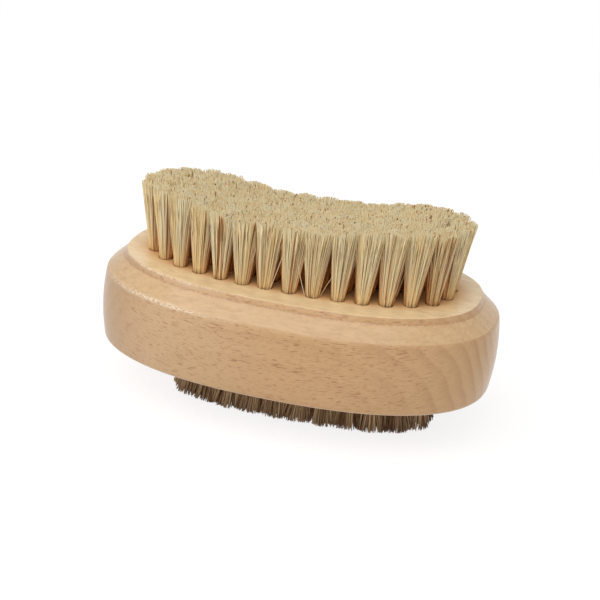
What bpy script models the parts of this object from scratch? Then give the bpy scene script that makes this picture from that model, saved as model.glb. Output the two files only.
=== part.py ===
"""Two-sided nail brush: an oval block with tufts of bristle on its raised table and on its underside."""

import itertools
import math
import random

import bmesh
import bpy
import numpy as np

MM = 0.001

# The block is an oval between an ellipse and a rectangle, widest at the belly of its barrel-shaped wall
BLOCK_LENGTH = 95.0 * MM
BLOCK_WIDTH = 58.0 * MM
OVAL_POWER = 2.34
OVAL_STEPS = 92
OVAL_SAMPLES = 1600

# The wall, from the underside up to the sloping chamfer
WALL_HEIGHT = 17.2 * MM
WALL_BULGE = 0.65 * MM
WALL_LEVELS = 5
FOOT_RADIUS = 1.5 * MM
FOOT_LEVELS = 3

# The chamfer, and the raised table that carries the upper bristles
CHAMFER_IN = 3.9 * MM
CHAMFER_UP = 3.6 * MM
STEP_IN = 0.65 * MM
STEP_UP = 1.35 * MM
TABLE_RIM = 0.35 * MM

# Each field of bristles stands on slices of wood that are let into the block with this gap round them
SEAT_GAP = 0.3 * MM
UPPER_SEAT_DEPTH = 1.2 * MM
LOWER_SEAT_DEPTH = 2.4 * MM
CUTTER_OVERRUN = 2.0 * MM

# Tufts: the outer ring follows the oval from a tuft at its -X end, and the tufts inside it stand in rows
# across the brush. The ring's last tufts on each side of an end share the end's slice, with one more tuft in
# the middle where that leaves more than the end space.
TUFT_DIAMETER = 3.3 * MM
ROW_PITCH = 5.8 * MM
END_TUFTS = 2
END_SPACE = 8.7 * MM
STRAND_ROOT = 0.8 * MM
STRAND_FILL_SHARE = 0.76
STRAND_JITTER = 0.12 * MM
TIP_UNEVENNESS = 0.35 * MM

# Upper bristles: margins from the table's edge to the middle of the outer tufts, and the trimmed surface.
# The shares are of the ring's pitch: how far a tuft spreads at its tip, along and across the brush.
UPPER_ROWS = 13
UPPER_END_MARGIN = 6.9 * MM
UPPER_SIDE_MARGIN = 7.5 * MM
UPPER_FIELD_SHIFT = -0.4 * MM
UPPER_HEIGHT = 17.0 * MM
VALLEY_CENTER = -2.0 * MM
VALLEY_DEPTH = 3.25 * MM
VALLEY_REACH = 20.0 * MM
VALLEY_POWER = 3.0
TRIM_RISE = 0.4 * MM
TRIM_TILT = 0.9 * MM
UPPER_END_LEAN = 1.2 * MM
UPPER_SIDE_LEAN = -1.2 * MM
UPPER_TIP_SHARES = (0.855, 0.76)
UPPER_SEED = 11

# Lower bristles: shorter, a smaller field that sits a little towards +X, trimmed level to stand on.
# Their margins are from the belly outline.
LOWER_ROWS = 9
LOWER_END_MARGIN = 19.8 * MM
LOWER_SIDE_MARGIN = 19.0 * MM
LOWER_FIELD_SHIFT = 3.3 * MM
LOWER_PAD_MARGIN = 3.2 * MM
LOWER_HEIGHT = 11.4 * MM
LOWER_CUT_DEPTH = 0.5 * MM
LOWER_END_LEAN = 1.4 * MM
LOWER_SIDE_LEAN = 0.2 * MM
LOWER_TIP_SHARES = (0.88, 0.67)
LOWER_SEED = 23

# The lower field's size, to the middle of its outer tufts
LOWER_FIELD_LENGTH = BLOCK_LENGTH - 2 * LOWER_END_MARGIN
LOWER_FIELD_WIDTH = BLOCK_WIDTH - 2 * LOWER_SIDE_MARGIN

# Heights above the surface that the brush stands on
UNDERSIDE = LOWER_HEIGHT
WALL_TOP = UNDERSIDE + WALL_HEIGHT
LEDGE = WALL_TOP + CHAMFER_UP
TABLE = LEDGE + STEP_UP

# Insets from the belly outline
WALL_INSET = WALL_BULGE
LEDGE_INSET = WALL_INSET + CHAMFER_IN
TABLE_INSET = LEDGE_INSET + STEP_IN

BEECH_COLOR = (0.66, 0.42, 0.22, 1.0)
BEECH_ROUGHNESS = 0.38
CREAM_BRISTLE_COLOR = (0.58, 0.45, 0.27, 1.0)
GREY_BRISTLE_COLOR = (0.27, 0.21, 0.15, 1.0)
BRISTLE_ROUGHNESS = 0.55
SMOOTH_ANGLE = math.radians(30)


def clear_scene():
    for item in list(bpy.data.objects):
        bpy.data.objects.remove(item, do_unlink=True)


def plain_material(name, color, roughness):
    material = bpy.data.materials.new(name)
    material.use_nodes = True
    shader = material.node_tree.nodes["Principled BSDF"]
    shader.inputs["Base Color"].default_value = color
    shader.inputs["Roughness"].default_value = roughness
    return material


def oval(length, width, inset, count):
    """Points at even steps along the oval, moved inwards by inset. The first is the middle of the front."""
    half_length, half_width = length / 2, width / 2
    turn = np.linspace(-math.pi / 2, 3 * math.pi / 2, OVAL_SAMPLES + 1)
    cos, sin = np.cos(turn), np.sin(turn)
    x = half_length * np.sign(cos) * np.abs(cos) ** (2 / OVAL_POWER)
    y = half_width * np.sign(sin) * np.abs(sin) ** (2 / OVAL_POWER)
    across_x = np.sign(x) * np.abs(x / half_length) ** (OVAL_POWER - 1) / half_length
    across_y = np.sign(y) * np.abs(y / half_width) ** (OVAL_POWER - 1) / half_width
    steepness = np.hypot(across_x, across_y)
    x = x - inset * across_x / steepness
    y = y - inset * across_y / steepness
    walked = np.concatenate([[0], np.cumsum(np.hypot(np.diff(x), np.diff(y)))])
    stops = np.linspace(0, walked[-1], count, endpoint=False)
    return np.column_stack([np.interp(stops, walked, x), np.interp(stops, walked, y)])


def add_stack(mesh, rings):
    """A closed solid through rings of equal counts, each a list of points, from the bottom up."""
    loops = [[mesh.verts.new(point) for point in ring] for ring in rings]
    mesh.faces.new(loops[0][::-1])
    mesh.faces.new(loops[-1])
    count = len(loops[0])
    for below, above in zip(loops, loops[1:]):
        for i in range(count):
            j = (i + 1) % count
            mesh.faces.new((below[i], below[j], above[j], above[i]))


def stacked(rings):
    mesh = bmesh.new()
    add_stack(mesh, rings)
    return mesh


def oval_ring(length, width, inset, z, shift=0.0):
    return [(x + shift, y, z) for x, y in oval(length, width, inset, OVAL_STEPS)]


def block_ring(inset, z):
    return oval_ring(BLOCK_LENGTH, BLOCK_WIDTH, inset, z)


def finished(mesh, name, material):
    data = bpy.data.meshes.new(name)
    mesh.to_mesh(data)
    mesh.free()
    item = bpy.data.objects.new(name, data)
    bpy.context.scene.collection.objects.link(item)
    data.materials.append(material)
    return item


def as_helper(item):
    item.hide_render = True
    item.display_type = "WIRE"
    return item


def add_boolean(item, helper, operation):
    modifier = item.modifiers.new(helper.name, "BOOLEAN")
    modifier.operation = operation
    modifier.object = helper
    modifier.solver = "EXACT"
    modifier.material_mode = "TRANSFER"


def wall_rings():
    """The rounded foot, then the barrel-shaped wall."""
    rings = []
    for level in range(FOOT_LEVELS):
        angle = math.pi / 2 * level / FOOT_LEVELS
        inset = WALL_INSET + FOOT_RADIUS * (1 - math.sin(angle))
        rings.append(block_ring(inset, UNDERSIDE + FOOT_RADIUS * (1 - math.cos(angle))))
    for level in range(WALL_LEVELS):
        share = level / (WALL_LEVELS - 1)
        inset = WALL_INSET - WALL_BULGE * (1 - (2 * share - 1) ** 2)
        z = UNDERSIDE + FOOT_RADIUS + share * (WALL_HEIGHT - FOOT_RADIUS)
        rings.append(block_ring(inset, z))
    return rings


def upper_seat_cutter():
    inset = TABLE_INSET - SEAT_GAP
    floor = block_ring(inset, LEDGE - UPPER_SEAT_DEPTH)
    return finished(stacked([floor, block_ring(inset, LEDGE + CUTTER_OVERRUN)]), "upper_seat_cutter", None)


def lower_pad_ring(grow, z):
    length = LOWER_FIELD_LENGTH + 2 * (LOWER_PAD_MARGIN + grow)
    width = LOWER_FIELD_WIDTH + 2 * (LOWER_PAD_MARGIN + grow)
    return oval_ring(length, width, 0, z, LOWER_FIELD_SHIFT)


def lower_seat_cutter():
    mouth = lower_pad_ring(SEAT_GAP, UNDERSIDE - CUTTER_OVERRUN)
    floor = lower_pad_ring(SEAT_GAP, UNDERSIDE + LOWER_SEAT_DEPTH)
    return finished(stacked([mouth, floor]), "lower_seat_cutter", None)


def make_block(beech):
    rings = wall_rings() + [block_ring(LEDGE_INSET, LEDGE)]
    block = finished(stacked(rings), "wooden_block", beech)
    block.data.shade_smooth()
    block.data.set_sharp_from_angle(angle=SMOOTH_ANGLE)
    add_boolean(block, as_helper(upper_seat_cutter()), "DIFFERENCE")
    add_boolean(block, as_helper(lower_seat_cutter()), "DIFFERENCE")


def upper_slab():
    """The raised table and the part of it that is let into the block, before it is sawn into slices."""
    bottom = LEDGE - UPPER_SEAT_DEPTH + SEAT_GAP
    rings = [block_ring(TABLE_INSET, bottom), block_ring(TABLE_INSET, TABLE - TABLE_RIM)]
    return stacked(rings + [block_ring(TABLE_INSET + TABLE_RIM, TABLE)])


def lower_slab():
    top = UNDERSIDE + LOWER_SEAT_DEPTH - SEAT_GAP
    return stacked([lower_pad_ring(0, UNDERSIDE), lower_pad_ring(0, top)])


def saw(mesh, x, side):
    """Cuts the slab square across at x and keeps what lies on the given side."""
    geometry = mesh.verts[:] + mesh.edges[:] + mesh.faces[:]
    plane = {"plane_co": (x, 0, 0), "plane_no": (-side, 0, 0)}
    cut = bmesh.ops.bisect_plane(mesh, geom=geometry, clear_outer=True, **plane)
    edges = [item for item in cut["geom_cut"] if isinstance(item, bmesh.types.BMEdge)]
    bmesh.ops.contextual_create(mesh, geom=edges)
    bmesh.ops.recalc_face_normals(mesh, faces=mesh.faces)


def strand_end(x, y, z, length, width):
    """The four corners of one end of a strand, level and square to the brush."""
    corners = ((-1, -1), (1, -1), (1, 1), (-1, 1))
    return [(x + side_x * length / 2, y + side_y * width / 2, z) for side_x, side_y in corners]


class Field:
    """One side's bristles: where the ring of tufts runs, how they lean, and where they are trimmed."""

    def __init__(self, name, length, width, shift, base, rows, leans, tip_shares, trim):
        self.name, self.length, self.width, self.shift, self.base = name, length, width, shift, base
        self.leans, self.trim = leans, trim
        front_tufts = rows - 2 + 2 * END_TUFTS
        ring_tufts = 2 * front_tufts + 1
        quarter_steps = oval(length, width, 0, 4 * ring_tufts)
        self.ring = quarter_steps[3 * ring_tufts % 4::4]
        pitch = np.hypot(*(self.ring[1] - self.ring[0]))
        self.tip_length, self.tip_width = [share * pitch for share in tip_shares]

    def rows(self):
        """Tufts in rows across the brush, from -X to +X. The last of the ring round each end are one row."""
        in_front = [(x, -y) for x, y in self.ring if -y > TUFT_DIAMETER / 2]
        front = sorted(in_front, key=lambda place: place[0])
        middle = front[END_TUFTS:-END_TUFTS]
        rows = []
        for x, edge in middle:
            steps = max(1, round(2 * edge / ROW_PITCH))
            rows.append([(x, edge * (2 * k / steps - 1)) for k in range(steps + 1)])
        left = [(x, y) for x, y in self.ring if x < middle[0][0] - TUFT_DIAMETER / 2]
        right = [(x, y) for x, y in self.ring if x > middle[-1][0] + TUFT_DIAMETER / 2]
        for end, nearest in ((left, middle[0][0]), (right, middle[-1][0])):
            farthest = max((x for x, _ in end), key=abs)
            if abs(farthest - nearest) > END_SPACE:
                end.append(((farthest + nearest) / 2, 0.0))
        return [left] + rows + [right]

    def cuts(self, rows):
        """Where the slab is sawn: midway between neighbouring rows."""
        return [(max(x for x, _ in a) + min(x for x, _ in b)) / 2 for a, b in zip(rows, rows[1:])]

    def lean(self, x, y):
        return x + self.leans[0] * x / (self.length / 2), y + self.leans[1] * y / (self.width / 2)


def strand_size(*spaces):
    """A strand fills this share of the space that it has in its tuft."""
    return [STRAND_FILL_SHARE * space for space in spaces]


def upper_trim(x, y, chance):
    """The upper bristles are hollowed along the brush, and trimmed a little lower at the back and at -X."""
    valley = VALLEY_DEPTH * math.exp(-(abs((x - VALLEY_CENTER) / VALLEY_REACH) ** VALLEY_POWER))
    rise = TRIM_RISE * x / (BLOCK_LENGTH / 2)
    tilt = TRIM_TILT * y / (BLOCK_WIDTH / 2 - TABLE_INSET - UPPER_SIDE_MARGIN)
    return TABLE + UPPER_HEIGHT - valley + rise - tilt + chance.uniform(-TIP_UNEVENNESS, TIP_UNEVENNESS)


def lower_trim(x, y, chance):
    """The lower bristles are cut flat on the surface that they stand on. Some stop just short of it."""
    return max(0.0, chance.uniform(-LOWER_CUT_DEPTH, TIP_UNEVENNESS))


def tuft_strands(mesh, field, place, chance):
    """One tuft: four strands, side by side at the foot, that fan out to their tips without crossing."""
    foot, length, width = TUFT_DIAMETER / 2, field.tip_length / 2, field.tip_width / 2
    lean_x, lean_y = field.lean(*place)
    for side_x, side_y in itertools.product((-1, 1), repeat=2):
        tip_x = lean_x + side_x * length / 2 + chance.uniform(-STRAND_JITTER, STRAND_JITTER)
        tip_y = lean_y + side_y * width / 2 + chance.uniform(-STRAND_JITTER, STRAND_JITTER)
        tip_z = field.trim(tip_x, tip_y, chance)
        foot_x = place[0] + side_x * foot / 2 + chance.uniform(-STRAND_JITTER, STRAND_JITTER) + field.shift
        foot_y = place[1] + side_y * foot / 2 + chance.uniform(-STRAND_JITTER, STRAND_JITTER)
        root = math.copysign(STRAND_ROOT, field.base - tip_z)
        low = strand_end(foot_x, foot_y, field.base + root, *strand_size(foot, foot))
        high = strand_end(tip_x + field.shift, tip_y, tip_z, *strand_size(length, width))
        add_stack(mesh, sorted((low, high), key=lambda end: end[0][2]))


def make_rows(field, slab, beech, bristle, seed):
    """A slice of the backing for each row of tufts, with the row's strands fused to it."""
    chance = random.Random(seed)
    rows = field.rows()
    cuts = field.cuts(rows)
    for number, row in enumerate(rows, 1):
        name = f"{field.name}_row_{number:02d}"
        slice_mesh = slab()
        if number > 1:
            saw(slice_mesh, cuts[number - 2] + field.shift + SEAT_GAP / 2, 1)
        if number < len(rows):
            saw(slice_mesh, cuts[number - 1] + field.shift - SEAT_GAP / 2, -1)
        backing = finished(slice_mesh, name, beech)
        backing.data.materials.append(bristle)
        strands = bmesh.new()
        for place in row:
            tuft_strands(strands, field, place, chance)
        add_boolean(backing, as_helper(finished(strands, f"{name}_strands", bristle)), "UNION")


def upper_field():
    length = BLOCK_LENGTH - 2 * (TABLE_INSET + UPPER_END_MARGIN)
    width = BLOCK_WIDTH - 2 * (TABLE_INSET + UPPER_SIDE_MARGIN)
    size, place = (length, width), (UPPER_FIELD_SHIFT, TABLE)
    leans = (UPPER_END_LEAN, UPPER_SIDE_LEAN)
    return Field("upper_bristle", *size, *place, UPPER_ROWS, leans, UPPER_TIP_SHARES, upper_trim)


def lower_field():
    size, place = (LOWER_FIELD_LENGTH, LOWER_FIELD_WIDTH), (LOWER_FIELD_SHIFT, UNDERSIDE)
    leans = (LOWER_END_LEAN, LOWER_SIDE_LEAN)
    return Field("lower_bristle", *size, *place, LOWER_ROWS, leans, LOWER_TIP_SHARES, lower_trim)


def main():
    clear_scene()
    beech = plain_material("lacquered_beech", BEECH_COLOR, BEECH_ROUGHNESS)
    cream = plain_material("cream_bristle", CREAM_BRISTLE_COLOR, BRISTLE_ROUGHNESS)
    grey = plain_material("grey_bristle", GREY_BRISTLE_COLOR, BRISTLE_ROUGHNESS)
    make_block(beech)
    make_rows(upper_field(), upper_slab, beech, cream, UPPER_SEED)
    make_rows(lower_field(), lower_slab, beech, grey, LOWER_SEED)


main()
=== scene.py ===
"""The look of a two-sided nail brush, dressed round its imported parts. Lengths are in millimetres times MM."""

import math

import bmesh
import bpy
import numpy as np
from mathutils import Matrix, Vector


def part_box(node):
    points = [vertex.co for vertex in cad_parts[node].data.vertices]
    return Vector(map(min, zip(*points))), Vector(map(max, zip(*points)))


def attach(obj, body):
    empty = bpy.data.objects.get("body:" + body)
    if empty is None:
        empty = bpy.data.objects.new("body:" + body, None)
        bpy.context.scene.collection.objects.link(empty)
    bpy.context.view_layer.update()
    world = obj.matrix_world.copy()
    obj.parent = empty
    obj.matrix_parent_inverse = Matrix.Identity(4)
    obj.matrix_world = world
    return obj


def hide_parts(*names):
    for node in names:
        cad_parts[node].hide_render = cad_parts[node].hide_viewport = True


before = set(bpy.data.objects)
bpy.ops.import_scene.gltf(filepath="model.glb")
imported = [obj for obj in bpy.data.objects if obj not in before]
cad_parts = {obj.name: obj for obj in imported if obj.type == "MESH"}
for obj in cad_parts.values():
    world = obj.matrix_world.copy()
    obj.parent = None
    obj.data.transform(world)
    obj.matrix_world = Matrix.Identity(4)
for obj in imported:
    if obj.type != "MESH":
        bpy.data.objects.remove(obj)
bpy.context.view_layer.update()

MM = 0.001

# The block, as in the solids
OVAL_POWER = 2.34
WALL_HEIGHT = 17.2 * MM
WALL_BULGE = 0.65 * MM
CHAMFER_IN = 3.9 * MM
STEP_IN = 0.65 * MM
STEP_UP = 1.35 * MM

# Rounding of the block's edges, as the length that each takes from the flats beside it
FOOT_ROUND = 1.5 * MM
WALL_EDGE_ROUND = 0.45 * MM
STEP_FOOT_ROUND = 0.16 * MM
TABLE_EDGE_ROUND = 0.32 * MM
EDGE_HOLD = 0.1 * MM

# Fineness of the block's mesh
OVAL_SAMPLES = 4000
OVAL_STEPS = 280
WALL_STEPS = 14
ROUND_STEPS = 5
HOLE_STEPS = 22

# Holes that the tufts stand in
HOLE_RADIUS = 1.62 * MM
HOLE_LIP = 0.14 * MM
HOLE_DEPTH = 3.2 * MM

# The layout of the tufts, as in the solids: how many of the front's tufts at each end belong to the end rows,
# how far apart tufts may stand at an end before one more stands between them, and the pitch within a row
END_TUFTS = 2
END_SPACE = 8.7 * MM
ROW_PITCH = 5.8 * MM

# Tufts beyond RIM_SHARE of the oval form its rim. Each tuft stands a little off its place, and the inner ones
# spread wider, to close the field.
RIM_SHARE = 0.85
RIM_JITTER = 0.16 * MM
INNER_JITTER = 0.4 * MM
INNER_SPREAD = 1.22

# Strands. On a rim tuft, OUTER_START is how far out a strand at its middle counts as lying.
ROOT_RADIUS = 1.2 * MM
ROOT_DEPTH = 2.2 * MM
STRAND_SIDES = 3
THINNEST = 0.75
THICKEST = 1.2
OUTER_START = 0.42

# How far out of the field a stray strand may lean, as a share of the tip radius
STRAY_LIMIT = 0.5

# Now and then a strand is dark or brown, and thicker
DARK_SHARE = 0.003
BROWN_SHARE = 0.03
DARK_THICKNESS = 2.0
BROWN_THICKNESS = 1.3

# The upper field, and the valley that its tops are trimmed to
UPPER_ROWS = 13
UPPER_END_MARGIN = 6.9 * MM
UPPER_SIDE_MARGIN = 7.5 * MM
UPPER_SHIFT = -0.4 * MM
UPPER_HEIGHT = 17.2 * MM
VALLEY_CENTER = -3.0 * MM
VALLEY_DEPTH = 3.05 * MM
VALLEY_TILT = 0.9 * MM
VALLEY_LEFT_REACH = 19.5 * MM
VALLEY_RIGHT_REACH = 22.0 * MM
VALLEY_REACH_TILT = 3.0 * MM
VALLEY_POWER = 3.2
TRIM_RISE = 0.4 * MM
TRIM_TILT = 0.5 * MM

# The lower field
LOWER_ROWS = 9
LOWER_END_MARGIN = 19.8 * MM
LOWER_SIDE_MARGIN = 19.0 * MM
LOWER_SHIFT = 3.3 * MM

# The camera that the photograph was taken with
CAMERA_AIM = Vector((0.585, 1.988, 24.396)) * MM
CAMERA_DISTANCE = 374.8 * MM
CAMERA_AZIMUTH = math.radians(13.078)
CAMERA_ELEVATION = math.radians(22.309)
CAMERA_ROLL = math.radians(5.545)
CAMERA_LENS_MM = 94.46
CAMERA_SENSOR_MM = 36.0
CAMERA_SHIFT = (-0.00793, 0.00102)

block_low, block_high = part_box("wooden_block")
LENGTH = block_high.x - block_low.x
WIDTH = block_high.y - block_low.y
UNDERSIDE = block_low.z
LEDGE = block_high.z
WALL_TOP = UNDERSIDE + WALL_HEIGHT
TABLE = LEDGE + STEP_UP
LEDGE_INSET = WALL_BULGE + CHAMFER_IN
TABLE_INSET = LEDGE_INSET + STEP_IN


def outline(length, width, count, start=0.0):
    """Points at even steps round the oval, with outward normals. Step 0 is the middle of the front."""
    turn = np.linspace(-math.pi / 2, 3 * math.pi / 2, OVAL_SAMPLES + 1)
    cos, sin = np.cos(turn), np.sin(turn)
    x = length / 2 * np.sign(cos) * np.abs(cos) ** (2 / OVAL_POWER)
    y = width / 2 * np.sign(sin) * np.abs(sin) ** (2 / OVAL_POWER)
    normal_x = np.sign(x) * np.abs(2 * x / length) ** (OVAL_POWER - 1) / length
    normal_y = np.sign(y) * np.abs(2 * y / width) ** (OVAL_POWER - 1) / width
    walked = np.concatenate([[0], np.cumsum(np.hypot(np.diff(x), np.diff(y)))])
    stops = (np.arange(count) + start) * walked[-1] / count
    points = np.column_stack([np.interp(stops, walked, x), np.interp(stops, walked, y)])
    normals = np.column_stack([np.interp(stops, walked, normal_x), np.interp(stops, walked, normal_y)])
    return points, normals / np.linalg.norm(normals, axis=1)[:, None]


def new_object(name, mesh, *materials):
    item = bpy.data.objects.new(name, mesh)
    bpy.context.scene.collection.objects.link(item)
    for material in materials:
        mesh.materials.append(material)
    return item


def rounded_profile(corners):
    """(inset, z) points along corners of (inset, z, rounding), each corner eased by a short curve."""
    points = [np.array(corners[0][:2])]
    for before, corner, after in zip(corners, corners[1:], corners[2:]):
        here = np.array(corner[:2])
        back, ahead = np.array(before[:2]) - here, np.array(after[:2]) - here
        back, ahead = back / np.hypot(*back), ahead / np.hypot(*ahead)
        start, end = here + corner[2] * back, here + corner[2] * ahead
        points.append(start + EDGE_HOLD * back)
        for t in np.linspace(0, 1, ROUND_STEPS + 1):
            points.append((1 - t) ** 2 * start + 2 * t * (1 - t) * here + t**2 * end)
        points.append(end + EDGE_HOLD * ahead)
    points.append(np.array(corners[-1][:2]))
    return points


def block_profile():
    """From the flat underside, up the barrel-shaped wall and the chamfer, to the flat of the table."""
    corners = [
        (WALL_BULGE + 2 * FOOT_ROUND, UNDERSIDE, 0.0),
        (WALL_BULGE, UNDERSIDE, FOOT_ROUND),
        (WALL_BULGE, WALL_TOP, WALL_EDGE_ROUND),
        (LEDGE_INSET, LEDGE, STEP_FOOT_ROUND),
        (TABLE_INSET, TABLE, TABLE_EDGE_ROUND),
        (TABLE_INSET + 2 * TABLE_EDGE_ROUND, TABLE, 0.0),
    ]
    profile = rounded_profile(corners)
    # The flat's own point and the foot's rounding, with a held point on each side, come before the wall
    foot = 1 + ROUND_STEPS + 3
    low, high = profile[foot - 1], profile[foot]
    wall = [low + (high - low) * k / WALL_STEPS for k in range(1, WALL_STEPS)]
    profile = profile[:foot] + wall + profile[foot:]
    for point in profile:
        share = (point[1] - UNDERSIDE - FOOT_ROUND) / (WALL_HEIGHT - FOOT_ROUND)
        if 0 < share < 1:
            point[0] -= WALL_BULGE * (1 - (2 * share - 1) ** 2)
    return profile


def loop_of(mesh, points):
    """A closed loop through points, as its vertices and its edges."""
    verts = [mesh.verts.new(point) for point in points]
    edges = [mesh.edges.new((a, b)) for a, b in zip(verts, verts[1:] + verts[:1])]
    return verts, edges


def bridge(mesh, lower, upper, material=0):
    """A band of faces between two loops of as many points."""
    for i in range(len(lower)):
        j = (i + 1) % len(lower)
        face = mesh.faces.new((lower[i], lower[j], upper[j], upper[i]))
        face.smooth = True
        face.material_index = material


def drill(mesh, tuft, surface, into):
    """One blind hole, leaning as its tuft does. It gives the edges of its mouth."""
    angles = np.arange(HOLE_STEPS) * 2 * math.pi / HOLE_STEPS
    circle = np.column_stack([np.cos(angles), np.sin(angles)])
    rings = []
    for radius, depth in ((HOLE_RADIUS + HOLE_LIP, 0.0), (HOLE_RADIUS, HOLE_LIP), (HOLE_RADIUS, HOLE_DEPTH)):
        middle = tuft["place"] - tuft["slope"] * depth
        rings.append([(x, y, surface + into * depth) for x, y in middle + radius * circle])
    mouth, edges = loop_of(mesh, rings[0])
    lip, _ = loop_of(mesh, rings[1])
    floor, _ = loop_of(mesh, rings[2])
    bridge(mesh, mouth, lip)
    bridge(mesh, lip, floor, material=1)
    mesh.faces.new(floor).material_index = 1
    return edges


def make_block(upper, lower, materials):
    """The block as one closed mesh, with a hole for each of the upper and lower tufts."""
    mesh = bmesh.new()
    points, normals = outline(LENGTH, WIDTH, OVAL_STEPS)
    loops = []
    for inset, z in block_profile():
        ring = points - inset * normals
        loops.append(loop_of(mesh, [(x, y, z) for x, y in ring]))
    for (below, _), (above, _) in zip(loops, loops[1:]):
        bridge(mesh, below, above)
    for (_, rim), tufts, surface, into in (
        (loops[0], lower, UNDERSIDE, 1),
        (loops[-1], upper, TABLE, -1),
    ):
        edges = list(rim)
        for tuft in tufts:
            edges += drill(mesh, tuft, surface, into)
        bmesh.ops.triangle_fill(mesh, use_beauty=True, edges=edges)
    bmesh.ops.recalc_face_normals(mesh, faces=mesh.faces)
    data = bpy.data.meshes.new("beech_block")
    mesh.to_mesh(data)
    mesh.free()
    return new_object("beech_block", data, *materials)


def tuft_rows(length, width, rows, shift):
    """Tuft places in rows across the brush, from -X to +X, as in the solids.

    The outermost tufts form a ring, which starts so that one of them stands at its -X end.
    """
    front_tufts = rows - 2 + 2 * END_TUFTS
    ring_tufts = 2 * front_tufts + 1
    ring, _ = outline(length, width, ring_tufts, start=3 * ring_tufts % 4 / 4)
    front = sorted(((x, -y) for x, y in ring if -y > HOLE_RADIUS), key=lambda place: place[0])
    middle = front[END_TUFTS:-END_TUFTS]
    found = []
    for x, edge in middle:
        steps = max(1, round(2 * edge / ROW_PITCH))
        found.append([(x, edge * (2 * k / steps - 1)) for k in range(steps + 1)])
    left = [(x, y) for x, y in ring if x < middle[0][0] - HOLE_RADIUS]
    right = [(x, y) for x, y in ring if x > middle[-1][0] + HOLE_RADIUS]
    for end, nearest in ((left, middle[0][0]), (right, middle[-1][0])):
        farthest = max((x for x, _ in end), key=abs)
        if abs(farthest - nearest) > END_SPACE:
            end.append(((farthest + nearest) / 2, 0.0))
    return [[np.array((x + shift, y)) for x, y in row] for row in [left] + found + [right]]


class Field:
    """One side's bristles and how they look.

    leans: how far out the outermost tufts lean at full height, along the brush and across it
    sway: how far every tuft leans
    twist, corner_lean: a lean towards -Y, for each unit of X and at the -X end
    rim_spread: how wide a rim tuft's tips spread, along the rim and across it
    tops, height: the heights that the tips are cut to, as a function of x and y, and the full height
    strands, steps: strands in a tuft, and lengths that each is made of
    radius, taper: a strand's radius, and the share of it that the tip lacks
    tip_radius, tip_scatter: the radius that a tuft opens to, and how far a tip lies off its place there
    locks, gather: locks in a tuft, and how far their strands draw together
    flare, bow: how late a strand spreads, and how far it bends
    crown, unevenness, tuft_unevenness: how much shorter a tuft's sides, single strands and whole tufts are
    stray_share, stray_reach, stray_short: how many strands stray, how far, and how much shorter they are
    painted_shade_drift: change of tone from the middle of the brush to +X
    """

    def __init__(self, name, size, rows, shift, surface, up, **looks):
        self.name, self.size, self.shift, self.surface, self.up = name, size, shift, surface, up
        self.looks = looks
        self.chance = np.random.default_rng(looks["seed"])
        self.rows = [[self.tuft(place) for place in row] for row in tuft_rows(*size, rows, shift)]

    def tuft(self, place):
        """A tuft's place, how far it leans for each unit of height, and how its tips spread.

        The tips of the outermost tufts spread more along the rim than across it.
        """
        share = np.array([2 * (place[0] - self.shift) / self.size[0], 2 * place[1] / self.size[1]])
        lean = share * np.array(self.looks["leans"]) + self.looks["sway"]
        lean[1] -= self.looks["twist"] * (place[0] - self.shift)
        lean[1] -= self.looks["corner_lean"] * max(0.0, -share[0]) ** 3
        slope = lean / self.looks["height"]
        jitter = self.chance.uniform(-1, 1, 2)
        spread = INNER_SPREAD * np.eye(2)
        outward = np.zeros(2)
        rim = (np.abs(share) ** OVAL_POWER).sum() > RIM_SHARE
        if rim:
            outward = np.sign(share) * np.abs(share) ** (OVAL_POWER - 1) / self.size
            outward /= np.hypot(*outward)
            along = np.array((-outward[1], outward[0]))
            wide, deep = self.looks["rim_spread"]
            spread = wide * np.outer(along, along) + deep * np.outer(outward, outward)
        place = place + jitter * (RIM_JITTER if rim else INNER_JITTER)
        # Painted shade: the tone drifts along the brush, darker on the side that gets less light
        tone = self.looks["painted_shade_drift"] * share[0]
        return {"place": place, "slope": slope, "spread": spread, "outward": outward, "tone": tone}


def upper_tops(x, y):
    """Height that the upper bristles are cut to, with a valley that is deepest and longest at the back."""
    across = y / (WIDTH / 2 - TABLE_INSET - UPPER_SIDE_MARGIN)
    right_reach = VALLEY_RIGHT_REACH + VALLEY_REACH_TILT * across
    reach = np.where(x < VALLEY_CENTER, VALLEY_LEFT_REACH, right_reach)
    hollow = np.exp(-(np.abs((x - VALLEY_CENTER) / reach) ** VALLEY_POWER))
    valley = (VALLEY_DEPTH + VALLEY_TILT * across) * hollow
    rise = TRIM_RISE * x / (LENGTH / 2)
    return TABLE + UPPER_HEIGHT - valley + rise - TRIM_TILT * across


def lower_tops(x, y):
    """The lower bristles are cut level, on the surface that the brush stands on."""
    return np.zeros_like(x)


def disc(chance, count, radius):
    """Points spread evenly over a disc."""
    turn = chance.uniform(0, 2 * math.pi, count)
    out = radius * np.sqrt(chance.uniform(0, 1, count))
    return np.column_stack([out * np.cos(turn), out * np.sin(turn)])


def scatter_strands(field, tuft):
    """Where a tuft's strands start and end, from its middle, with each one's lock and whether it is stray.

    Strands lie in small locks that draw together towards their tips. The tips of a rim tuft stay within its
    tip radius on the outer side.
    """
    looks, chance = field.looks, field.chance
    count = looks["strands"]
    root = disc(chance, count, ROOT_RADIUS)
    locks = disc(chance, looks["locks"], ROOT_RADIUS)
    lock = np.argmin(((root[:, None] - locks[None]) ** 2).sum(2), axis=1)
    gathered = root + looks["gather"] * (locks[lock] - root)
    tip = gathered @ tuft["spread"] * looks["tip_radius"] / ROOT_RADIUS
    tip += disc(chance, count, looks["tip_scatter"])
    stray = chance.uniform(0, 1, count) < looks["stray_share"]
    tip[stray] += disc(chance, count, looks["stray_reach"])[stray]
    limit = looks["tip_radius"] * np.where(stray, STRAY_LIMIT, 1)
    tip -= np.maximum(tip @ tuft["outward"] - limit, 0)[:, None] * tuft["outward"]
    return root, tip, lock, stray


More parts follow.
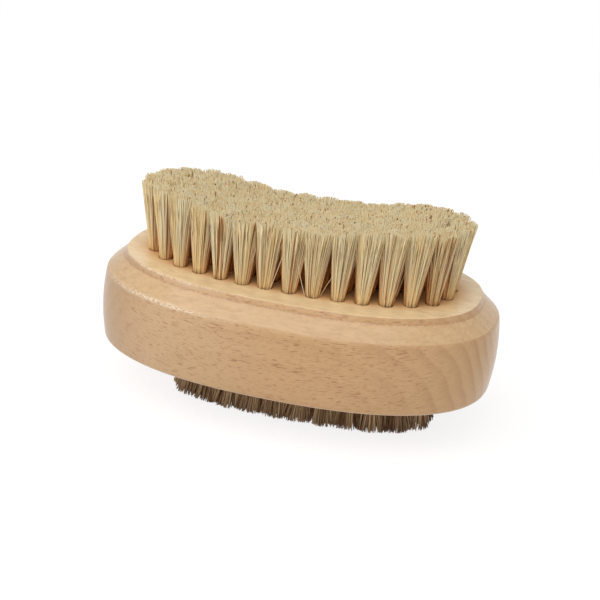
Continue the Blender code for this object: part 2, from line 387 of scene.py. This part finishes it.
def shortfalls(field, lock, stray):
    """How far strands end short of the trim, by chance for each strand, its tuft and its lock."""
    looks, chance = field.looks, field.chance
    short = np.abs(chance.normal(0, looks["unevenness"], len(lock)))
    short += abs(chance.normal(0, looks["tuft_unevenness"]))
    short += np.abs(chance.normal(0, looks["unevenness"], looks["locks"]))[lock]
    short[stray] += chance.uniform(0, looks["stray_short"], len(lock))[stray]
    return short


def tuft_lines(field, tuft):
    """Middle lines of a tuft's strands, as an array of strand, step and (x, y, z), and tones and outerness.

    A lock's strands share a tone. Outerness is 1 on the outer side of a rim tuft, and 0 inside the field, where
    strands get painted shade.
    """
    looks, chance = field.looks, field.chance
    root, tip, lock, stray = scatter_strands(field, tuft)
    count = len(root)
    root_place = tuft["place"] - tuft["slope"] * ROOT_DEPTH + root
    tip_place = tuft["place"] + tuft["slope"] * looks["height"] + tip
    crown = looks["crown"] * (np.hypot(*tip.T) / looks["tip_radius"]) ** 2
    short = shortfalls(field, lock, stray)
    tops = looks["tops"](tip_place[:, 0], tip_place[:, 1]) - field.up * (crown + short)
    step = np.linspace(0, 1, looks["steps"] + 1)[None, :, None]
    along = root_place[:, None] + (tip_place - root_place)[:, None] * step ** looks["flare"]
    along = along + chance.normal(0, looks["bow"], (count, 1, 2)) * 4 * step * (1 - step)
    start = field.surface - field.up * ROOT_DEPTH
    z = start + (tops - start)[:, None] * step[:, :, 0]
    lines = np.concatenate([along, z[:, :, None]], axis=2)
    tone = (chance.uniform(0, 1, looks["locks"])[lock] + chance.uniform(0, 1, count)) / 2 + tuft["tone"]
    outer = np.zeros(count)
    if tuft["outward"].any():
        outer = np.clip(OUTER_START + root @ tuft["outward"] / ROOT_RADIUS, 0, 1)
    return lines, tone, outer


def strand_tubes(field, tufts):
    """One mesh of closed tubes round the strands' lines.

    Its attribute holds the height along each strand, and the strand's tone, kind and outerness.
    """
    looks, chance = field.looks, field.chance
    made = [tuft_lines(field, tuft) for tuft in tufts]
    lines, tone, outer = (np.concatenate(parts) for parts in zip(*made))
    strands, rings = lines.shape[:2]
    step = np.linspace(0, 1, rings)
    kind = chance.uniform(0, 1, strands)
    thickness = looks["radius"] * chance.uniform(THINNEST, THICKEST, strands)
    thickness[kind < BROWN_SHARE] *= BROWN_THICKNESS
    thickness[kind < DARK_SHARE] *= DARK_THICKNESS / BROWN_THICKNESS
    radius = thickness[:, None] * (1 - looks["taper"] * step[None])
    turn = chance.uniform(0, 2 * math.pi, strands)[:, None]
    turn = turn + np.arange(STRAND_SIDES) * 2 * math.pi / STRAND_SIDES
    around = np.stack([np.cos(turn), np.sin(turn), np.zeros_like(turn)], axis=2)
    points = lines[:, :, None] + radius[:, :, None, None] * around[:, None]
    number = np.arange(strands * rings * STRAND_SIDES).reshape(strands, rings, STRAND_SIDES)
    following = np.roll(number, -1, axis=2)
    sides = np.stack([number[:, :-1], following[:, :-1], following[:, 1:], number[:, 1:]], axis=-1)
    ends = np.concatenate([number[:, 0, ::-1], number[:, -1]])
    faces = [tuple(face) for face in sides.reshape(-1, 4).tolist()]
    faces += [tuple(face) for face in ends.tolist()]
    mesh = bpy.data.meshes.new(field.name)
    mesh.from_pydata(points.reshape(-1, 3).tolist(), [], faces)
    mesh.shade_smooth()
    height = np.tile(np.repeat(step, STRAND_SIDES), strands)
    own = np.repeat(np.column_stack([tone, kind, outer]), rings * STRAND_SIDES, axis=0)
    layer = mesh.attributes.new("strand", "FLOAT_COLOR", "POINT")
    layer.data.foreach_set("color", np.column_stack([height, own]).astype(np.float32).ravel())
    return mesh


def node(tree, kind, **settings):
    made = tree.nodes.new(kind)
    for key, value in settings.items():
        setattr(made, key, value)
    return made


def wire(tree, source, target):
    tree.links.new(source, target)


def math_node(tree, operation, first, second=None, third=None, clamp=False):
    """A Math node whose inputs are sockets or numbers. It gives its output."""
    made = node(tree, "ShaderNodeMath", operation=operation, use_clamp=clamp)
    for socket, value in zip(made.inputs, (first, second, third)):
        if isinstance(value, bpy.types.NodeSocket):
            wire(tree, value, socket)
        elif value is not None:
            socket.default_value = value
    return made.outputs[0]


def blend_color(tree, factor, first, second, blend="MIX"):
    """A colour Mix node whose inputs are sockets or values. It gives its output."""
    made = node(tree, "ShaderNodeMix", data_type="RGBA", blend_type=blend)
    for socket, value in ((made.inputs[0], factor), (made.inputs[6], first), (made.inputs[7], second)):
        if isinstance(value, bpy.types.NodeSocket):
            wire(tree, value, socket)
        else:
            socket.default_value = value
    return made.outputs[2]


def smooth_step(tree, value, low, high):
    """0 where value is at low or beyond, 1 at high or beyond, and eased between them."""
    made = node(tree, "ShaderNodeMapRange", interpolation_type="SMOOTHSTEP")
    wire(tree, value, made.inputs["Value"])
    made.inputs["From Min"].default_value = low
    made.inputs["From Max"].default_value = high
    return made.outputs["Result"]


def noise(tree, where, stretch, detail=2.0, roughness=0.5):
    """Noise over the object, with stretch as its cycles for each millimetre along X, Y and Z."""
    mapping = node(tree, "ShaderNodeMapping")
    mapping.inputs["Scale"].default_value = [value / MM for value in stretch]
    wire(tree, where, mapping.inputs["Vector"])
    texture = node(tree, "ShaderNodeTexNoise")
    texture.inputs["Scale"].default_value = 1.0
    texture.inputs["Detail"].default_value = detail
    texture.inputs["Roughness"].default_value = roughness
    wire(tree, mapping.outputs["Vector"], texture.inputs["Vector"])
    return texture.outputs["Fac"]


def near(tree, value, level, reach):
    """1 where value is at level, and down to 0 at reach from it."""
    away = math_node(tree, "ABSOLUTE", math_node(tree, "SUBTRACT", value, level))
    return smooth_step(tree, away, reach, 0.0)


def lessen(tree, value, mask, share):
    """Value, and less by share of it where mask is 1."""
    return math_node(tree, "MULTIPLY", value, math_node(tree, "MULTIPLY_ADD", mask, -share, 1.0))


def new_group(name, inputs, outputs):
    """A node group and its two end nodes. Inputs are (title, kind, value), and outputs are (title, kind)."""
    group = bpy.data.node_groups.new(name, "ShaderNodeTree")
    for title, kind, value in inputs:
        group.interface.new_socket(title, in_out="INPUT", socket_type=kind).default_value = value
    for title, kind in outputs:
        group.interface.new_socket(title, in_out="OUTPUT", socket_type=kind)
    return group, node(group, "NodeGroupInput"), node(group, "NodeGroupOutput")


# Beech, in its own directions: along the grain, out across the growth rings, and along them. The grain runs
# along the brush, and the rings rise towards the back. They sway by a share of a ring, and late wood comes in
# and is full at shares of one.
RING_TILT = math.radians(-23.5)
RING_PERIOD = 3.0 * MM
RING_SWAY = 0.8
LATE_FROM = 0.2
LATE_TO = 0.9

# How steeply a surface faces up, to an end or to the left where it starts to count as flat or as an end, and
# where it fully does
FLAT_FROM = 0.35
FLAT_TO = 0.75
END_FROM = 0.35
END_TO = 0.8
LEFT_FROM = -0.3
LEFT_TO = -0.75
# Up-facing surfaces from here on get pale flakes with painted light
TOP_LIGHT_FROM = 0.6

# How strongly each part of the figure, and each painted shade, sheen and highlight, shows
FIBRE_SHARE = 0.75
CLOUD_SHARE = 0.5
RING_SHARE = 0.45
PALE_UP_TO = 0.42
SHEEN_SHARE = 0.5
CURL_SHARE = 0.8
FINE_RAY_SHARE = 0.7
FOOT_SHADE_SHARE = 0.55
HIGHLIGHT_SHARE = 0.85

# Rings show more towards the right, and a paler painted sheen towards the left
RINGS_FROM = -20 * MM
RINGS_TO = 20 * MM
SHEEN_FROM = 8 * MM
SHEEN_TO = -30 * MM

# Painted shade along the crease at the step's foot, and painted highlights on the rims of the wall and the
# table, round RIM_MIDDLE on the left
FOOT_SHADE_REACH = 0.45 * MM
WALL_RIM = 0.75 * MM
TABLE_RIM = 0.27 * MM
TABLE_RIM_DROP = 0.28 * MM
RIM_MIDDLE = -29 * MM
RIM_REACH = 24 * MM

# The wood between the upper tufts gets painted shade, warmer and darker, up to this share of their oval, and it
# fades out by the next
PAINTED_SHADE_TO = 0.9
PAINTED_SHADE_END = 1.5


def wood_place(tree):
    """What the figure depends on: the place, also in the wood's own directions, and how the surface faces."""
    coordinates = node(tree, "ShaderNodeTexCoord").outputs["Object"]
    grain = node(tree, "ShaderNodeVectorRotate", rotation_type="X_AXIS")
    wire(tree, coordinates, grain.inputs["Vector"])
    grain.inputs["Angle"].default_value = RING_TILT
    place = node(tree, "ShaderNodeSeparateXYZ")
    wire(tree, coordinates, place.inputs[0])
    facing = node(tree, "ShaderNodeSeparateXYZ")
    wire(tree, node(tree, "ShaderNodeNewGeometry").outputs["Normal"], facing.inputs[0])
    upward = math_node(tree, "ABSOLUTE", facing.outputs["Z"])
    return {
        "x": place.outputs["X"],
        "y": place.outputs["Y"],
        "z": place.outputs["Z"],
        "grain": grain.outputs["Vector"],
        "upward": upward,
        "flat": smooth_step(tree, upward, FLAT_FROM, FLAT_TO),
        "end": smooth_step(tree, math_node(tree, "ABSOLUTE", facing.outputs["X"]), END_FROM, END_TO),
        "left_end": smooth_step(tree, facing.outputs["X"], LEFT_FROM, LEFT_TO),
    }


def among_tufts(tree, at):
    """1 on the table within the ring of upper tufts, and down to 0 just outside it: where the wood gets painted
    shade.
    """
    along = math_node(tree, "ABSOLUTE", math_node(tree, "SUBTRACT", at["x"], UPPER_SHIFT))
    along = math_node(tree, "DIVIDE", along, LENGTH / 2 - TABLE_INSET - UPPER_END_MARGIN)
    across = math_node(tree, "ABSOLUTE", at["y"])
    across = math_node(tree, "DIVIDE", across, WIDTH / 2 - TABLE_INSET - UPPER_SIDE_MARGIN)
    share = math_node(tree, "ADD", *(math_node(tree, "POWER", part, OVAL_POWER) for part in (along, across)))
    table = near(tree, at["z"], TABLE, STEP_UP)
    return math_node(tree, "MULTIPLY", smooth_step(tree, share, PAINTED_SHADE_END, PAINTED_SHADE_TO), table)


def growth_rings(tree, at):
    """The rings' late wood: in patches everywhere, and in bands on the ends, most of all the right one."""
    across = node(tree, "ShaderNodeSeparateXYZ")
    wire(tree, at["grain"], across.inputs[0])
    sway = noise(tree, at["grain"], (0.012, 0.04, 0.05))
    sway = math_node(tree, "MULTIPLY_ADD", sway, 2 * RING_SWAY, -RING_SWAY)
    turn = math_node(tree, "MULTIPLY_ADD", across.outputs["Y"], 1 / RING_PERIOD, sway)
    turn = math_node(tree, "FRACT", turn)
    late = smooth_step(tree, turn, LATE_FROM, LATE_TO)
    late = math_node(tree, "MULTIPLY", late, smooth_step(tree, turn, 1.0, LATE_TO))
    patchy = noise(tree, at["grain"], (0.03, 0.1, 0.1))
    patchy = math_node(tree, "MULTIPLY_ADD", patchy, 1.6, -0.35, clamp=True)
    banded = math_node(tree, "MULTIPLY_ADD", smooth_step(tree, at["x"], RINGS_FROM, RINGS_TO), 0.5, 0.1)
    banded = lessen(tree, banded, at["upward"], 0.6)
    return math_node(tree, "MULTIPLY", late, math_node(tree, "MULTIPLY_ADD", at["end"], banded, patchy))


def plain_wood(tree, given, at, fibre):
    """The wood's colour without rays or marks: rings, fibres and curls, a painted sheen to the left, painted
    shade on the left end, and flakes with painted light on flat surfaces.
    """
    cloud = noise(tree, at["grain"], (0.03, 0.07, 0.09))
    cloud = math_node(tree, "MULTIPLY", cloud, CLOUD_SHARE)
    shade = math_node(tree, "MULTIPLY_ADD", fibre, FIBRE_SHARE, cloud)
    shade = math_node(tree, "ADD", shade, -PALE_UP_TO)
    shade = math_node(tree, "MULTIPLY_ADD", growth_rings(tree, at), RING_SHARE, shade, clamp=True)
    color = blend_color(tree, shade, given.outputs["Pale Wood"], given.outputs["Late Wood"])
    # Painted sheen: paler and less saturated towards the left, less so on flat surfaces
    sheen = smooth_step(tree, at["x"], SHEEN_FROM, SHEEN_TO)
    sheen = math_node(tree, "MULTIPLY", sheen, SHEEN_SHARE)
    sheen = lessen(tree, sheen, at["flat"], 0.7)
    color = blend_color(tree, sheen, color, given.outputs["Painted Sheen"])
    curl = noise(tree, at["grain"], (0.3, 1.0, 2.0), detail=4.0, roughness=0.7)
    curl = smooth_step(tree, curl, 0.42, 0.68)
    curl = math_node(tree, "MULTIPLY", curl, math_node(tree, "MULTIPLY", at["flat"], CURL_SHARE))
    color = blend_color(tree, curl, color, given.outputs["Late Wood"])
    # Painted shade: surfaces that face the left end are darker
    color = blend_color(tree, at["left_end"], color, given.outputs["Painted Left End Shade"], "MULTIPLY")
    # Pale flakes on up-facing surfaces: wood figure, and painted light that makes the tops paler
    flakes = noise(tree, at["grain"], (0.2, 0.5, 0.8), detail=4.0, roughness=0.65)
    top_light = math_node(tree, "MULTIPLY_ADD", flakes, 1.2, 0.25, clamp=True)
    top_light = math_node(tree, "MULTIPLY", top_light, smooth_step(tree, at["upward"], TOP_LIGHT_FROM, 1.0))
    return blend_color(tree, top_light, color, given.outputs["Flakes And Painted Top Light"])


def ray_dashes(tree, at, strength):
    """Short dashes along the front and back, which fade on flat surfaces and on the ends."""
    coarse = smooth_step(tree, noise(tree, at["grain"], (0.55, 0.3, 4.4), detail=0.0), 0.665, 0.73)
    fine = smooth_step(tree, noise(tree, at["grain"], (0.9, 0.6, 6.5), detail=0.0), 0.66, 0.74)
    rays = math_node(tree, "MULTIPLY_ADD", fine, FINE_RAY_SHARE, coarse, clamp=True)
    rays = lessen(tree, rays, at["flat"], 0.85)
    rays = lessen(tree, rays, at["end"], 0.9)
    return math_node(tree, "MULTIPLY", rays, strength)


def paint_highlights_and_crease_shade(tree, given, at, color):
    """Color with painted shade along the crease at the step's foot, and painted highlights on the rims on the
    left.
    """
    specks = smooth_step(tree, noise(tree, at["grain"], (1.5, 4.0, 5.0), detail=3.0), 0.4, 0.62)
    # Painted shade: dark specks in the ray colour along the crease at the step's foot
    foot = math_node(tree, "MULTIPLY", near(tree, at["z"], LEDGE, FOOT_SHADE_REACH), FOOT_SHADE_SHARE)
    foot = math_node(tree, "MULTIPLY", foot, specks)
    color = blend_color(tree, foot, color, given.outputs["Ray"])
    # Painted highlights: paler specks on the rims of the wall and the table on the left
    highlights = near(tree, at["z"], TABLE - TABLE_RIM_DROP, TABLE_RIM)
    highlights = math_node(tree, "ADD", near(tree, at["z"], WALL_TOP, WALL_RIM), highlights, clamp=True)
    highlights = math_node(tree, "MULTIPLY", highlights, near(tree, at["x"], RIM_MIDDLE, RIM_REACH))
    highlights = math_node(tree, "MULTIPLY", math_node(tree, "MULTIPLY", highlights, specks), HIGHLIGHT_SHARE)
    return blend_color(tree, highlights, color, given.outputs["Painted Highlight"])


def beech_figure_and_painted_light():
    """Beech's colour, roughness, relief and how much lacquer shows on it.

    The wood between the upper tufts gets painted shade, warmer and darker, and has less lacquer. The colour
    also holds painted highlights, a painted sheen and painted shade.
    """
    group, given, out = new_group(
        "beech_figure_and_painted_light",
        [
            ("Pale Wood", "NodeSocketColor", (0.68, 0.415, 0.2, 1.0)),
            ("Late Wood", "NodeSocketColor", (0.5, 0.275, 0.115, 1.0)),
            ("Flakes And Painted Top Light", "NodeSocketColor", (0.95, 0.73, 0.43, 1.0)),
            ("Painted Sheen", "NodeSocketColor", (0.69, 0.48, 0.29, 1.0)),
            ("Painted Left End Shade", "NodeSocketColor", (0.78, 0.74, 0.69, 1.0)),
            ("Painted Shade Among Tufts", "NodeSocketColor", (0.76, 0.42, 0.165, 1.0)),
            ("Painted Highlight", "NodeSocketColor", (1.0, 0.87, 0.68, 1.0)),
            ("Ray", "NodeSocketColor", (0.38, 0.15, 0.05, 1.0)),
            ("Ray Strength", "NodeSocketFloat", 0.6),
        ],
        [
            ("Color", "NodeSocketColor"),
            ("Roughness", "NodeSocketFloat"),
            ("Height", "NodeSocketFloat"),
            ("Gloss", "NodeSocketFloat"),
        ],
    )
    at = wood_place(group)
    fibre = noise(group, at["grain"], (0.09, 1.1, 2.4), detail=4.0, roughness=0.6)
    rays = ray_dashes(group, at, given.outputs["Ray Strength"])
    among = among_tufts(group, at)
    color = plain_wood(group, given, at, fibre)
    color = blend_color(group, rays, color, given.outputs["Ray"])
    color = paint_highlights_and_crease_shade(group, given, at, color)
    # Painted shade, warmer and darker, on the table among the upper tufts
    wire(group, blend_color(group, among, color, given.outputs["Painted Shade Among Tufts"]), out.inputs["Color"])
    roughness = math_node(group, "MULTIPLY_ADD", fibre, 0.2, 0.3)
    wire(group, math_node(group, "MULTIPLY_ADD", among, 0.4, roughness), out.inputs["Roughness"])
    height = math_node(group, "MULTIPLY_ADD", fibre, 0.4, math_node(group, "MULTIPLY", rays, -1.0))
    wire(group, height, out.inputs["Height"])
    gloss = smooth_step(group, noise(group, at["grain"], (1.6, 4.0, 4.0), detail=3.0), 0.35, 0.62)
    gloss = math_node(group, "MULTIPLY_ADD", gloss, 0.6, 0.4)
    wire(group, lessen(group, gloss, among, 1.0), out.inputs["Gloss"])
    return group


def new_material(name):
    material = bpy.data.materials.new(name)
    material.use_nodes = True
    return material, material.node_tree, material.node_tree.nodes["Principled BSDF"]


def wood_material(name, figure, coat, relief, pale=None, late=None):
    material, tree, shader = new_material(name)
    group = node(tree, "ShaderNodeGroup", node_tree=figure)
    if pale:
        group.inputs["Pale Wood"].default_value = pale
        group.inputs["Late Wood"].default_value = late
    wire(tree, group.outputs["Color"], shader.inputs["Base Color"])
    wire(tree, group.outputs["Roughness"], shader.inputs["Roughness"])
    bump = node(tree, "ShaderNodeBump")
    bump.inputs["Distance"].default_value = relief
    wire(tree, group.outputs["Height"], bump.inputs["Height"])
    wire(tree, bump.outputs["Normal"], shader.inputs["Normal"])
    shader.inputs["Specular IOR Level"].default_value = 0.35
    if coat:
        uneven = math_node(tree, "MULTIPLY", group.outputs["Gloss"], coat)
        wire(tree, uneven, shader.inputs["Coat Weight"])
    shader.inputs["Coat Roughness"].default_value = 0.14
    shader.inputs["Coat IOR"].default_value = 1.5
    return material


# Tones, and shares of a strand's length from its root, between which its colours change
TAN_UP_TO = 0.15
PALE_FROM = 0.85
ROOT_UP_TO = 0.1
ROOT_END = 0.5
ROOT_COLOR_SHARE = 0.7
SHADE_UP_TO = 0.3
SHADE_END = 0.9
CUT_FROM = 0.86


def strand_color():
    """Colour of a bristle: pale or tan, darker at its root, with painted shade low down inside the field. A few
    are dark.
    """
    group, given, out = new_group(
        "strand_color",
        [
            ("Root", "NodeSocketColor", (1.0, 0.74, 0.37, 1.0)),
            ("Shaded Root", "NodeSocketColor", (0.85, 0.36, 0.1, 1.0)),
            ("Pale", "NodeSocketColor", (1.0, 0.87, 0.58, 1.0)),
            ("Tan", "NodeSocketColor", (0.98, 0.75, 0.39, 1.0)),
            ("Cut End", "NodeSocketColor", (0.87, 0.88, 0.88, 1.0)),
            ("Brown", "NodeSocketColor", (0.42, 0.17, 0.05, 1.0)),
            ("Dark", "NodeSocketColor", (0.06, 0.025, 0.01, 1.0)),
        ],
        [("Color", "NodeSocketColor")],
    )
    facts = node(group, "ShaderNodeAttribute", attribute_name="strand")
    parts = node(group, "ShaderNodeSeparateColor")
    wire(group, facts.outputs["Color"], parts.inputs[0])
    height, tone, kind = parts.outputs
    tone = smooth_step(group, tone, TAN_UP_TO, PALE_FROM)
    color = blend_color(group, tone, given.outputs["Tan"], given.outputs["Pale"])
    low = math_node(group, "MULTIPLY", smooth_step(group, height, ROOT_END, ROOT_UP_TO), ROOT_COLOR_SHARE)
    color = blend_color(group, low, color, given.outputs["Root"])
    # Painted shade low on the strands, less on the outer side of rim tufts
    shaded = smooth_step(group, height, SHADE_END, SHADE_UP_TO)
    shaded = lessen(group, shaded, facts.outputs["Alpha"], 1.0)
    color = blend_color(group, shaded, color, given.outputs["Shaded Root"])
    cut = smooth_step(group, height, CUT_FROM, 1.0)
    color = blend_color(group, cut, color, given.outputs["Cut End"], "MULTIPLY")
    brown = math_node(group, "LESS_THAN", kind, BROWN_SHARE)
    color = blend_color(group, brown, color, given.outputs["Brown"])
    dark = math_node(group, "LESS_THAN", kind, DARK_SHARE)
    color = blend_color(group, dark, color, given.outputs["Dark"])
    wire(group, color, out.inputs["Color"])
    return group


def bristle_material(name, tones, roughness, **colors):
    """Bristle, with colors for the inputs of tones, each named as the input is, with _ for a space."""
    material, tree, shader = new_material(name)
    group = node(tree, "ShaderNodeGroup", node_tree=tones)
    for title, value in colors.items():
        group.inputs[title.replace("_", " ")].default_value = value
    wire(tree, group.outputs["Color"], shader.inputs["Base Color"])
    shader.inputs["Roughness"].default_value = roughness
    shader.inputs["Specular IOR Level"].default_value = 0.3
    return material


def dress(piece, slot, *nodes):
    """Fix a piece to the brush, in place of nodes of the solids. Its slot, the name of its material, is not
    used.
    """
    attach(piece, "root")
    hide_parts(*nodes)


def make_field(field, material, slot):
    """One mesh of strands for each row of tufts."""
    for number, tufts in enumerate(field.rows, 1):
        piece = new_object(f"{field.name}_{number:02d}", strand_tubes(field, tufts), material)
        dress(piece, slot, f"{field.name}_row_{number:02d}")


def see_directly(tree):
    """1 for what the camera sees, also by reflection or through glass."""
    path = node(tree, "ShaderNodeLightPath")
    first = math_node(tree, "ADD", path.outputs["Is Camera Ray"], path.outputs["Is Glossy Ray"])
    return math_node(tree, "ADD", first, path.outputs["Is Transmission Ray"], clamp=True)


# Light bounces off the floor as off FLOOR_ALBEDO. The camera sees FLOOR_GLOW with the light on FLOOR_SHADE
# added, so a shadow takes away no more than that, and from SHADOW_REACH to WHITE_FROM it fades to white.
FLOOR_REACH = 4000 * MM
FLOOR_ALBEDO = 0.85
FLOOR_SHADE = (0.33, 0.3, 0.27, 1)
FLOOR_GLOW = (0.785, 0.8, 0.82, 1)
SHADOW_REACH = 160 * MM
WHITE_FROM = 420 * MM
WORLD_LEVEL = 0.5

# Each lamp's place and size in millimetres, and the level to which it alone lights white
TOP_SOFTBOX = ((-190, -480, 820), (1150, 1000), 0.58)
LEFT_SOFTBOX = ((-440, -415, 345), (90, 220), 0.05)


def make_floor():
    data = bpy.data.meshes.new("floor")
    corners = [(x * FLOOR_REACH, y * FLOOR_REACH, 0) for x, y in ((-1, -1), (1, -1), (1, 1), (-1, 1))]
    data.from_pydata(corners, [], [(0, 1, 2, 3)])
    material = bpy.data.materials.new("white_floor")
    material.use_nodes = True
    tree = material.node_tree
    tree.nodes.remove(tree.nodes["Principled BSDF"])
    bounce = node(tree, "ShaderNodeBsdfDiffuse")
    bounce.inputs["Color"].default_value = (FLOOR_ALBEDO, FLOOR_ALBEDO, FLOOR_ALBEDO, 1)
    seen = node(tree, "ShaderNodeBsdfDiffuse")
    seen.inputs["Color"].default_value = FLOOR_SHADE
    glow = node(tree, "ShaderNodeEmission")
    glow.inputs["Color"].default_value = FLOOR_GLOW
    both = node(tree, "ShaderNodeAddShader")
    wire(tree, seen.outputs[0], both.inputs[0])
    wire(tree, glow.outputs[0], both.inputs[1])
    away = node(tree, "ShaderNodeVectorMath", operation="LENGTH")
    wire(tree, node(tree, "ShaderNodeTexCoord").outputs["Object"], away.inputs[0])
    fade = node(tree, "ShaderNodeMixShader")
    wire(tree, smooth_step(tree, away.outputs["Value"], SHADOW_REACH, WHITE_FROM), fade.inputs[0])
    wire(tree, both.outputs[0], fade.inputs[1])
    wire(tree, node(tree, "ShaderNodeEmission").outputs[0], fade.inputs[2])
    choose = node(tree, "ShaderNodeMixShader")
    wire(tree, see_directly(tree), choose.inputs[0])
    wire(tree, bounce.outputs[0], choose.inputs[1])
    wire(tree, fade.outputs[0], choose.inputs[2])
    wire(tree, choose.outputs[0], tree.nodes["Material Output"].inputs["Surface"])
    new_object("floor", data, material)


def make_world():
    world = bpy.data.worlds.new("white_room")
    bpy.context.scene.world = world
    world.use_nodes = True
    tree = world.node_tree
    background = tree.nodes["Background"]
    background.inputs["Color"].default_value = (1, 1, 1, 1)
    level = math_node(tree, "MULTIPLY_ADD", see_directly(tree), 1 - WORLD_LEVEL, WORLD_LEVEL)
    wire(tree, level, background.inputs["Strength"])


def make_softbox(name, place, size, level):
    """A rectangular lamp, aimed at the brush."""
    place = Vector(place) * MM
    lamp = bpy.data.lights.new(name, "AREA")
    lamp.shape = "RECTANGLE"
    lamp.size, lamp.size_y = (value * MM for value in size)
    away = place - CAMERA_AIM
    lamp.energy = level * (math.pi * away.length) ** 2
    item = bpy.data.objects.new(name, lamp)
    item.rotation_euler = away.to_track_quat("Z", "Y").to_euler()
    item.location = place
    bpy.context.scene.collection.objects.link(item)


def make_camera():
    camera = bpy.data.cameras.new("camera")
    camera.lens, camera.sensor_width = CAMERA_LENS_MM, CAMERA_SENSOR_MM
    camera.shift_x, camera.shift_y = CAMERA_SHIFT
    item = bpy.data.objects.new("camera", camera)
    bpy.context.scene.collection.objects.link(item)
    level = math.cos(CAMERA_ELEVATION)
    sine, cosine = math.sin(CAMERA_AZIMUTH), math.cos(CAMERA_AZIMUTH)
    back = Vector((sine * level, -cosine * level, math.sin(CAMERA_ELEVATION)))
    right = Vector((cosine, sine, 0))
    up = back.cross(right)
    rolled = right * math.cos(CAMERA_ROLL) + up * math.sin(CAMERA_ROLL)
    turned = Matrix((rolled, back.cross(rolled), back)).transposed().to_4x4()
    item.matrix_world = Matrix.Translation(CAMERA_AIM + back * CAMERA_DISTANCE) @ turned
    bpy.context.scene.camera = item


def upper_field():
    inset = TABLE_INSET + UPPER_END_MARGIN, TABLE_INSET + UPPER_SIDE_MARGIN
    return Field(
        "upper_bristle",
        (LENGTH - 2 * inset[0], WIDTH - 2 * inset[1]),
        UPPER_ROWS,
        UPPER_SHIFT,
        TABLE,
        up=1,
        seed=11,
        leans=(0.9 * MM, -1.2 * MM),
        twist=0.0,
        corner_lean=0.0,
        painted_shade_drift=0.0,
        sway=(0.0, 0.0),
        rim_spread=(1.03, 0.97),
        tops=upper_tops,
        height=UPPER_HEIGHT,
        strands=330,
        steps=5,
        radius=0.12 * MM,
        taper=0.2,
        tip_radius=3.35 * MM,
        tip_scatter=0.6 * MM,
        locks=18,
        gather=0.3,
        flare=1.15,
        bow=0.2 * MM,
        crown=0.3 * MM,
        unevenness=0.2 * MM,
        tuft_unevenness=0.16 * MM,
        stray_share=0.012,
        stray_reach=2.6 * MM,
        stray_short=9.0 * MM,
    )


def lower_field():
    return Field(
        "lower_bristle",
        (LENGTH - 2 * LOWER_END_MARGIN, WIDTH - 2 * LOWER_SIDE_MARGIN),
        LOWER_ROWS,
        LOWER_SHIFT,
        UNDERSIDE,
        up=-1,
        seed=23,
        leans=(1.3 * MM, 0.9 * MM),
        twist=-0.03,
        corner_lean=1.9 * MM,
        painted_shade_drift=-0.12,
        sway=(-0.4 * MM, 0.0),
        rim_spread=(1.35, 0.92),
        tops=lower_tops,
        height=UNDERSIDE,
        strands=330,
        steps=3,
        radius=0.115 * MM,
        taper=0.1,
        tip_radius=3.2 * MM,
        tip_scatter=0.3 * MM,
        locks=14,
        gather=0.15,
        flare=1.0,
        bow=0.2 * MM,
        crown=0.0,
        unevenness=0.05 * MM,
        tuft_unevenness=0.03 * MM,
        stray_share=0.01,
        stray_reach=1.2 * MM,
        stray_short=2.0 * MM,
    )


def main():
    bpy.context.scene.view_settings.view_transform = "Standard"
    make_camera()
    make_world()
    make_floor()
    make_softbox("top_softbox", *TOP_SOFTBOX)
    make_softbox("left_softbox", *LEFT_SOFTBOX)
    figure = beech_figure_and_painted_light()
    lacquered = wood_material("lacquered_beech", figure, coat=0.5, relief=0.03 * MM)
    raw = wood_material(
        "drilled_beech",
        figure,
        coat=0.0,
        relief=0.05 * MM,
        pale=(0.42, 0.24, 0.12, 1),
        late=(0.3, 0.16, 0.07, 1),
    )
    upper, lower = upper_field(), lower_field()
    block = make_block(sum(upper.rows, []), sum(lower.rows, []), (lacquered, raw))
    dress(block, "lacquered_beech", "wooden_block")
    tones = strand_color()
    cream = bristle_material("cream_bristle", tones, roughness=0.42)
    grey = bristle_material(
        "grey_bristle",
        tones,
        roughness=0.45,
        Root=(0.27, 0.13, 0.055, 1),
        Shaded_Root=(0.16, 0.065, 0.025, 1),
        Pale=(0.97, 0.72, 0.44, 1),
        Tan=(0.23, 0.095, 0.036, 1),
        Cut_End=(0.85, 0.8, 0.74, 1),
        Brown=(0.14, 0.06, 0.025, 1),
        Dark=(0.05, 0.025, 0.012, 1),
    )
    make_field(upper, cream, "cream_bristle")
    make_field(lower, grey, "grey_bristle")


main()
